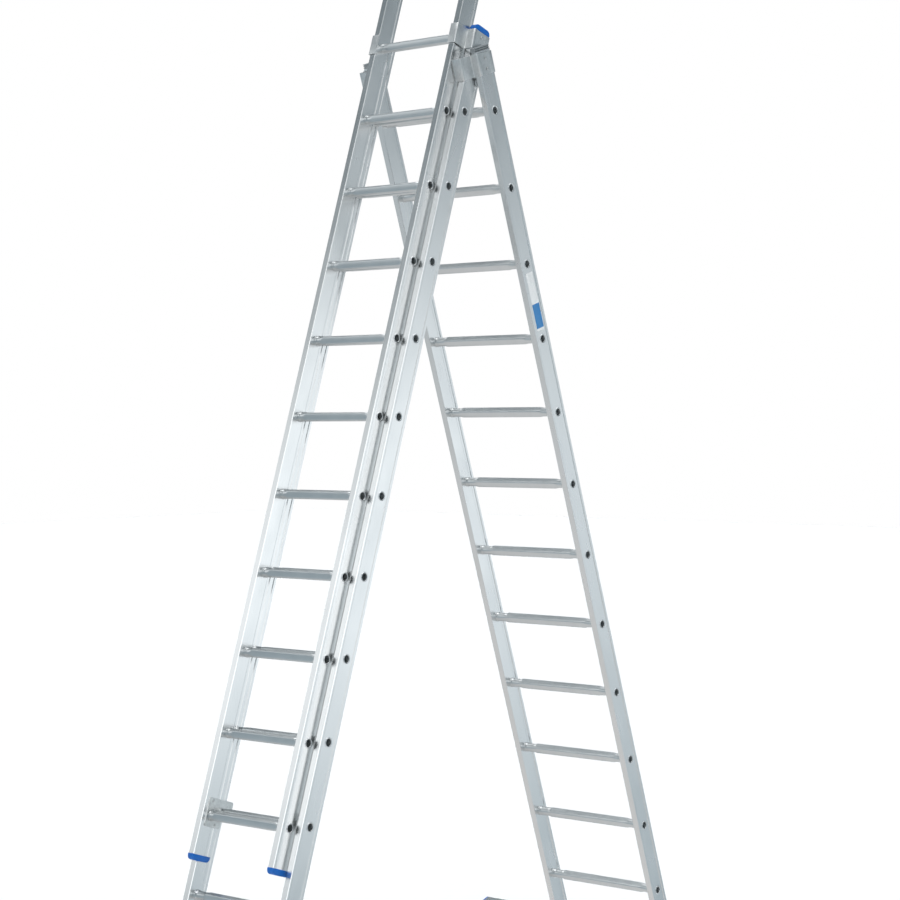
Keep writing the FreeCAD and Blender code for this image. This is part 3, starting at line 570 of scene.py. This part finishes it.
class LADDER_OT_brackets(bpy.types.Operator):
    """Build the bent guide brackets at the heads of the lower and middle sections"""
    bl_idname = "ladder.brackets"
    bl_label = "Guide brackets"

    def execute(self, context):
        sizes = context.scene.ladder_sizes
        metal = tumbled_aluminium("Extruded aluminium, tumbled", context.scene.ladder_colours.bracket)
        for section, guided in (("middle", "upper"), ("lower", "middle")):
            leg = LEG_OF[section]
            for name, side in SIDES:
                node = "%s_bracket_%s" % (section, name)
                outline, foot, top = bracket_outline(side, "%s_stile_%s" % (guided, name),
                                                     node, leg, sizes)
                builder = bmesh.new()
                soft_prism(builder, outline, foot, top, 0.6 * MM, plan_view)
                rear = leg_box(node, leg)[1].y
                if section == "middle":
                    cut_corner(builder, (0, rear, foot + sizes.lower_bevel),
                               (0, sizes.lower_bevel, -2 * rear))
                mesh = finish_mesh(node + "_bent", builder, 50, leg)
                add_piece(node + "_bent", mesh, metal, BODIES[section],
                          replaced=(node,))
        return {"FINISHED"}


# --- hooks and fixings --------------------------------------------------------------------
class LADDER_OT_hooks(bpy.types.Operator):
    """Finish the hook plates at the foot of the upper section"""
    bl_idname = "ladder.hooks"
    bl_label = "Hook plates"

    def execute(self, context):
        metal = zinc_plated_steel("Steel sheet, zinc plated", context.scene.ladder_colours.hook)
        for name, _ in SIDES:
            dress("upper_hook_" + name, metal)
        return {"FINISHED"}


def rivet_mesh(name, centres, radius, height, facing, leg):
    """Domed rivet heads whose axes run along X, as rings that close in towards the crown."""
    sides, steps = 24, 6
    builder = bmesh.new()
    for centre, way in zip(centres, facing):
        rings = []
        for step in range(steps):
            angle = math.pi / 2 * step / steps
            out, reach = radius * math.cos(angle), height * math.sin(angle)
            rings.append([Vector((centre.x + way * reach,
                                  centre.y + out * math.cos(2 * math.pi * side / sides),
                                  centre.z + out * math.sin(2 * math.pi * side / sides)))
                          for side in range(sides)])
        rows = [[builder.verts.new(point) for point in ring] for ring in rings]
        for row, after in zip(rows, rows[1:]):
            for index in range(sides):
                following = (index + 1) % sides
                builder.faces.new((row[index], row[following], after[following], after[index]))
        builder.faces.new(rows[0])
        builder.faces.new(rows[-1])
    return finish_mesh(name, builder, 60, leg)


def heads_of(node, leg, radius):
    """Lowest and highest corners, in the leg's frame, of each rivet in a node of rivets along
    X. Vertices belong together when they lie within a head's width of each other."""
    turn = LEGS[leg].inverted()
    mesh = frame["nodes"][node].data
    points = [turn @ vertex.co for vertex in mesh.vertices]
    groups = []
    for point in points:
        for members in groups:
            near = members[0]
            same_side = near.x * point.x > 0
            if same_side and (near.yz - point.yz).length < 2.2 * radius:
                members.append(point)
                break
        else:
            groups.append([point])
    return [(Vector([min(p[i] for p in members) for i in range(3)]),
             Vector([max(p[i] for p in members) for i in range(3)])) for members in groups]


class LADDER_OT_fixings(bpy.types.Operator):
    """Finish the rivets, hinge pins, spacers and bolts"""
    bl_idname = "ladder.fixings"
    bl_label = "Fixings"

    def execute(self, context):
        sizes = context.scene.ladder_sizes
        colours = context.scene.ladder_colours
        metal = plain_metal("Headed aluminium", colours.fixing)
        plastic = moulded_plastic("Polyamide, pale grey, moulded", colours.spacer, 0.5, 1.53)
        for node in ("hinge_pins", "stabiliser_bolts"):
            dress(node, metal)
        dress("hinge_spacers", plastic)
        for section in BODIES:
            node = section + "_rivets"
            leg = LEG_OF[section]
            inward = section == "upper"
            centres, facing = [], []
            for low, high in heads_of(node, leg, sizes.rivet_head):
                middle = (low + high) / 2
                way = math.copysign(1, middle.x) * (-1 if inward else 1)
                middle.x = (high.x if way > 0 else low.x) - way * sizes.rivet_dome
                centres.append(middle)
                facing.append(way)
            mesh = rivet_mesh(node + "_domed", centres, sizes.rivet_head, sizes.rivet_dome,
                              facing, leg)
            add_piece(node + "_domed", mesh, metal, BODIES[section],
                      replaced=(node,))
        return {"FINISHED"}


# --- caps, plugs and feet -----------------------------------------------------------------
def stile_span(section, name):
    """Lowest and highest corners of a stile in its leg's own frame."""
    return leg_box("%s_stile_%s" % (section, name), LEG_OF[section])


def moulding(name, section, shapes, edge, plastic, replaced):
    """Soft-edged mouldings, one on each stile, from side views in depth and height."""
    builder = bmesh.new()
    for outline, low_x, high_x in shapes:
        soft_prism(builder, outline, low_x, high_x, edge, side_view)
    mesh = finish_mesh(name, builder, 55, LEG_OF[section])
    add_piece(name, mesh, plastic, BODIES[section], replaced=replaced)


def cap_shapes(section, away, height, play, rounding):
    """End caps: a flat crown with round front and rear, and a thin skirt round the stile."""
    shapes = []
    for name, _ in SIDES:
        low, high = stile_span(section, name)
        end = high.z if away > 0 else low.z
        points = [(low.y - play, end - away * play), (high.y + play, end - away * play),
                  (high.y + play, end + away * height), (low.y - play, end + away * height)]
        shapes.append((rounded(points, [0, 0, rounding, rounding], 8), low.x - play, high.x + play))
    return shapes


def slotted_plug(builder, section, name, side, sizes):
    """Plug with two slots across its outer side, in one stile's head."""
    low, high = stile_span(section, name)
    outer = high.x if side > 0 else low.x
    inner = low.x if side > 0 else high.x
    floor = outer - side * sizes.slot_depth
    end, top = high.z, high.z + sizes.plug_height
    land = (sizes.plug_height - 2 * sizes.slot_height) / 3
    levels = [end, end + land, end + land + sizes.slot_height,
              top - land - sizes.slot_height, top - land, top]
    outline = [(inner, levels[0]), (outer, levels[0]), (outer, levels[1]), (floor, levels[1]),
               (floor, levels[2]), (outer, levels[2]), (outer, levels[3]), (floor, levels[3]),
               (floor, levels[4]), (outer, levels[4]), (outer, levels[5]), (inner, levels[5])]
    soft_prism(builder, outline, low.y, high.y, sizes.skirt,
               lambda point, across: Vector((point[0], across, point[1])))


class LADDER_OT_caps(bpy.types.Operator):
    """Build the blue end caps and the grey plugs"""
    bl_idname = "ladder.caps"
    bl_label = "Caps and plugs"

    def execute(self, context):
        sizes = context.scene.ladder_sizes
        colours = context.scene.ladder_colours
        blue = moulded_plastic("Polypropylene, moulded", colours.cap, 0.45, 1.49)
        grey = moulded_plastic("Polyamide, grey, moulded", colours.plug, 0.5, 1.53)
        crowns = cap_shapes("middle", 1, sizes.cap_height, sizes.skirt, sizes.cap_round)
        moulding("middle_top_caps_soft", "middle", crowns, sizes.cap_edge, blue,
                 ("middle_top_caps",))
        ends = cap_shapes("upper", 1, sizes.cap_height, sizes.skirt, sizes.cap_round)
        ends += cap_shapes("upper", -1, sizes.cap_height, sizes.skirt, sizes.cap_round)
        moulding("upper_end_caps_soft", "upper", ends, sizes.cap_edge, blue,
                 ("upper_end_caps",))
        builder = bmesh.new()
        for name, side in SIDES:
            slotted_plug(builder, "lower", name, side, sizes)
        mesh = finish_mesh("lower_head_plugs", builder, 55, "rear")
        add_piece("lower_head_plugs", mesh, grey, BODIES["lower"],
                  replaced=("lower_end_plugs",))
        return {"FINISHED"}


def ribbed_sole(front, rear, top, slope_height, ribs, depth):
    """Side view of a foot with a level sole cut by shallow grooves. The slope height gives the
    height of the floor, in the leg's frame, at a depth."""
    points = [(front, top)]
    for rib in range(ribs):
        for share, lift in ((0, 0), (0.62, 0), (0.7, depth), (0.92, depth)):
            place = front + (rear - front) * (rib + share) / ribs
            points.append((place, slope_height(place) + lift))
    points.append((rear, slope_height(rear)))
    points.append((rear, top))
    return points


class LADDER_OT_feet(bpy.types.Operator):
    """Build the blue feet of both legs, with grooved soles"""
    bl_idname = "ladder.feet"
    bl_label = "Feet"

    def execute(self, context):
        sizes = context.scene.ladder_sizes
        rubber = moulded_plastic("Thermoplastic rubber, moulded",
                                 context.scene.ladder_colours.cap, 0.55, 1.5)
        reach = APEX.z / math.cos(LEAN)
        slope = math.tan(LEAN)
        shapes = []
        for name, _ in SIDES:
            low, high = stile_span("middle", name)
            outline = ribbed_sole(low.y, high.y, low.z + sizes.foot_collar,
                                  lambda depth: depth * slope - reach, 7, sizes.sole_groove)
            shapes.append((outline, low.x - sizes.skirt, high.x + sizes.skirt))
        moulding("middle_feet_soft", "middle", shapes, sizes.skirt, rubber,
                 ("middle_feet",))
        bar_low, bar_high = leg_box("stabiliser_bar", "rear")
        foot_low, foot_high = leg_box("stabiliser_feet", "rear")
        shapes = []
        for _, side in SIDES:
            end = side * foot_high.x
            start = side * (foot_high.x - sizes.bar_foot)
            outline = ribbed_sole(foot_low.y, foot_high.y, bar_low.z,
                                  lambda depth: -depth * slope - reach, 5, sizes.sole_groove)
            shapes.append((outline, min(start, end), max(start, end)))
            cover = [(foot_low.y, bar_low.z), (foot_high.y, bar_low.z),
                     (foot_high.y, bar_high.z), (foot_low.y, bar_high.z)]
            inner = side * bar_high.x
            shapes.append((rounded(cover, [0, 0, 5 * MM, 5 * MM], 6),
                           min(inner, end), max(inner, end)))
        moulding("stabiliser_feet_soft", "lower", shapes, sizes.skirt, rubber,
                 ("stabiliser_feet",))
        return {"FINISHED"}


# --- label --------------------------------------------------------------------------------
class LADDER_OT_label(bpy.types.Operator):
    """Build the blank rating label on the lower section's right stile"""
    bl_idname = "ladder.label"
    bl_label = "Label"

    def execute(self, context):
        sizes = context.scene.ladder_sizes
        colours = context.scene.ladder_colours
        low, high = leg_box("lower_stile_right", "rear")
        above = LEGS["rear"].inverted() @ middle_of("lower_rung_03")
        below = LEGS["rear"].inverted() @ middle_of("lower_rung_04")
        centre = (above.z + below.z) / 2
        half_width, half_length = sizes.label_width / 2, sizes.label_length / 2
        corners = [(-half_width, centre - half_length), (half_width, centre - half_length),
                   (half_width, centre + half_length), (-half_width, centre + half_length)]
        face = high.x - sizes.web_recess
        builder = bmesh.new()
        soft_prism(builder, rounded(corners, [4 * MM] * 4, 6), face,
                   face + sizes.label_thickness, 0.05 * MM, side_view)
        band_start, band_end = 0.04, 0.46
        film = printed_film("Printed vinyl film", colours.label, colours.label_band,
                            centre - half_length + band_start * sizes.label_length,
                            centre - half_length + band_end * sizes.label_length)
        add_piece("rating_label", finish_mesh("rating_label", builder), film, BODIES["lower"],
                  LEGS["rear"])
        return {"FINISHED"}


# --- stage --------------------------------------------------------------------------------
def softbox(tree, azimuth, elevation, place, blur, radiance):
    """Radiance of a soft-edged studio panel. Its place, in degrees, is the azimuth of its
    centre, half its width, and the elevations of its lower and upper edges."""
    centre, half_width, low, high = [math.radians(angle) for angle in place]
    soft = math.radians(blur)
    offset = add_node(tree, "ShaderNodeMath", {0: azimuth, 1: centre}, operation="SUBTRACT")
    aside = add_node(tree, "ShaderNodeMath", {0: offset.outputs[0]}, operation="ABSOLUTE")
    edges = ((aside.outputs[0], half_width + soft, half_width - soft),
             (elevation, low - soft, low + soft), (elevation, high + soft, high - soft))
    light = radiance
    for socket, dark, bright in edges:
        edge = add_node(tree, "ShaderNodeMapRange",
                        {"Value": socket, "From Min": dark, "From Max": bright},
                        interpolation_type="SMOOTHSTEP")
        product = add_node(tree, "ShaderNodeMath", {0: light, 1: edge.outputs["Result"]},
                           operation="MULTIPLY")
        light = product.outputs[0]
    return light


def studio_world(scene):
    """White backdrop for the eye. What the metal mirrors is a dim bluish room with a bright
    ceiling, two raised panels in front of the ladder and two low ones behind it."""
    world = bpy.data.worlds.new("Studio")
    world.use_nodes = True
    tree = world.node_tree
    way = add_node(tree, "ShaderNodeTexCoord").outputs["Generated"]
    parts = add_node(tree, "ShaderNodeSeparateXYZ", {"Vector": way}).outputs
    rise = add_node(tree, "ShaderNodeMath", {0: parts["Z"]}, operation="ARCSINE").outputs[0]
    round_about = add_node(tree, "ShaderNodeMath", {0: parts["Y"], 1: parts["X"]},
                           operation="ARCTAN2").outputs[0]
    share = add_node(tree, "ShaderNodeMath", {0: rise, 1: 1 / math.pi, 2: 0.5},
                     operation="MULTIPLY_ADD").outputs[0]
    room = add_node(tree, "ShaderNodeValToRGB", {"Fac": share})
    ramp = room.color_ramp
    neutral, bluish = (1, 1, 1), (0.83, 1, 1.1)
    # elevation in degrees, radiance and tint, from the floor's end of the room to the ceiling
    tones = [(-90, 0.72, neutral), (-32, 0.70, neutral), (-14, 0.46, bluish), (2, 0.38, bluish),
             (13, 0.21, bluish), (50, 0.22, bluish), (60, 2.55, neutral), (90, 2.75, neutral)]
    while len(ramp.elements) < len(tones):
        ramp.elements.new(0.5)
    for element, (angle, tone, tint) in zip(ramp.elements, tones):
        element.position = angle / 180 + 0.5
        element.color = (*[tone * part for part in tint], 1)
    # front left, front right, rear right and rear left
    panels = [softbox(tree, round_about, rise, (-138, 30, 13, 26), 4, 1.02),
              softbox(tree, round_about, rise, (-40, 24, 8, 32), 6, 1.45),
              softbox(tree, round_about, rise, (42, 10, -8, 4), 6, 1.2),
              softbox(tree, round_about, rise, (130, 22, -9, 5), 6, 0.95)]
    light = panels[0]
    for panel in panels[1:]:
        total = add_node(tree, "ShaderNodeMath", {0: light, 1: panel}, operation="ADD")
        light = total.outputs[0]
    glow = add_node(tree, "ShaderNodeBackground", {"Color": (1, 1, 1, 1), "Strength": light})
    walls = tree.nodes["Background"]
    tree.links.new(room.outputs["Color"], walls.inputs["Color"])
    lit = add_node(tree, "ShaderNodeAddShader", {0: walls.outputs[0], 1: glow.outputs[0]})
    white = add_node(tree, "ShaderNodeBackground", {"Color": (1, 1, 1, 1), "Strength": 1.0})
    seen = add_node(tree, "ShaderNodeLightPath").outputs["Is Camera Ray"]
    both = add_node(tree, "ShaderNodeMixShader", {0: seen, 1: lit.outputs[0],
                                                  2: white.outputs[0]})
    tree.links.new(both.outputs[0], tree.nodes["World Output"].inputs["Surface"])
    scene.world = world


class LADDER_OT_stage(bpy.types.Operator):
    """Set up the floor, the soft studio light and the camera"""
    bl_idname = "ladder.stage"
    bl_label = "Stage"

    def execute(self, context):
        scene = context.scene
        floor_reach = 30
        builder = bmesh.new()
        bmesh.ops.create_grid(builder, x_segments=2, y_segments=2, size=floor_reach)
        mesh = bpy.data.meshes.new("studio_floor")
        builder.to_mesh(mesh)
        builder.free()
        mesh.materials.append(studio_floor("Matt paint, floor", scene.ladder_colours.floor))
        ground = bpy.data.objects.new("studio_floor", mesh)
        scene.collection.objects.link(ground)
        ground.visible_glossy = False
        studio_world(scene)
        camera = bpy.data.cameras.new("Camera")
        camera.lens = 88.1
        camera.shift_x = -0.006
        camera.shift_y = 0.0232
        eye = bpy.data.objects.new("Camera", camera)
        scene.collection.objects.link(eye)
        eye.location = APEX + Vector((5.2046, -5.9569, -1.2588))
        eye.rotation_euler = [math.radians(angle) for angle in (88.582, 0.318, 40.454)]
        scene.camera = eye
        scene.view_settings.view_transform = "Standard"
        return {"FINISHED"}


# --- panel and registration ---------------------------------------------------------------
OPERATORS = (LADDER_OT_stage, LADDER_OT_stiles, LADDER_OT_rungs, LADDER_OT_brackets,
             LADDER_OT_hooks, LADDER_OT_fixings, LADDER_OT_caps, LADDER_OT_feet,
             LADDER_OT_label)


class LADDER_PT_panel(bpy.types.Panel):
    """Sizes, colours and build steps of the ladder"""
    bl_idname = "LADDER_PT_panel"
    bl_label = "Combination ladder"
    bl_space_type = "VIEW_3D"
    bl_region_type = "UI"
    bl_category = "Ladder"

    def draw(self, context):
        layout = self.layout
        for settings in (context.scene.ladder_sizes, context.scene.ladder_colours):
            box = layout.box()
            for name in settings.bl_rna.properties.keys():
                if name not in ("rna_type", "name"):
                    box.prop(settings, name)
        for operator in OPERATORS:
            layout.operator(operator.bl_idname)


CLASSES = (LadderSizes, LadderColours, *OPERATORS, LADDER_PT_panel)


def register():
    for item in CLASSES:
        bpy.utils.register_class(item)
    bpy.types.Scene.ladder_sizes = PointerProperty(type=LadderSizes)
    bpy.types.Scene.ladder_colours = PointerProperty(type=LadderColours)


def unregister():
    del bpy.types.Scene.ladder_colours
    del bpy.types.Scene.ladder_sizes
    for item in reversed(CLASSES):
        bpy.utils.unregister_class(item)


def main():
    register()
    bpy.ops.ladder.stage()
    bpy.ops.ladder.stiles()
    bpy.ops.ladder.rungs()
    bpy.ops.ladder.brackets()
    bpy.ops.ladder.hooks()
    bpy.ops.ladder.fixings()
    bpy.ops.ladder.caps()
    bpy.ops.ladder.feet()
    bpy.ops.ladder.label()


if __name__ == "__main__":
    main()
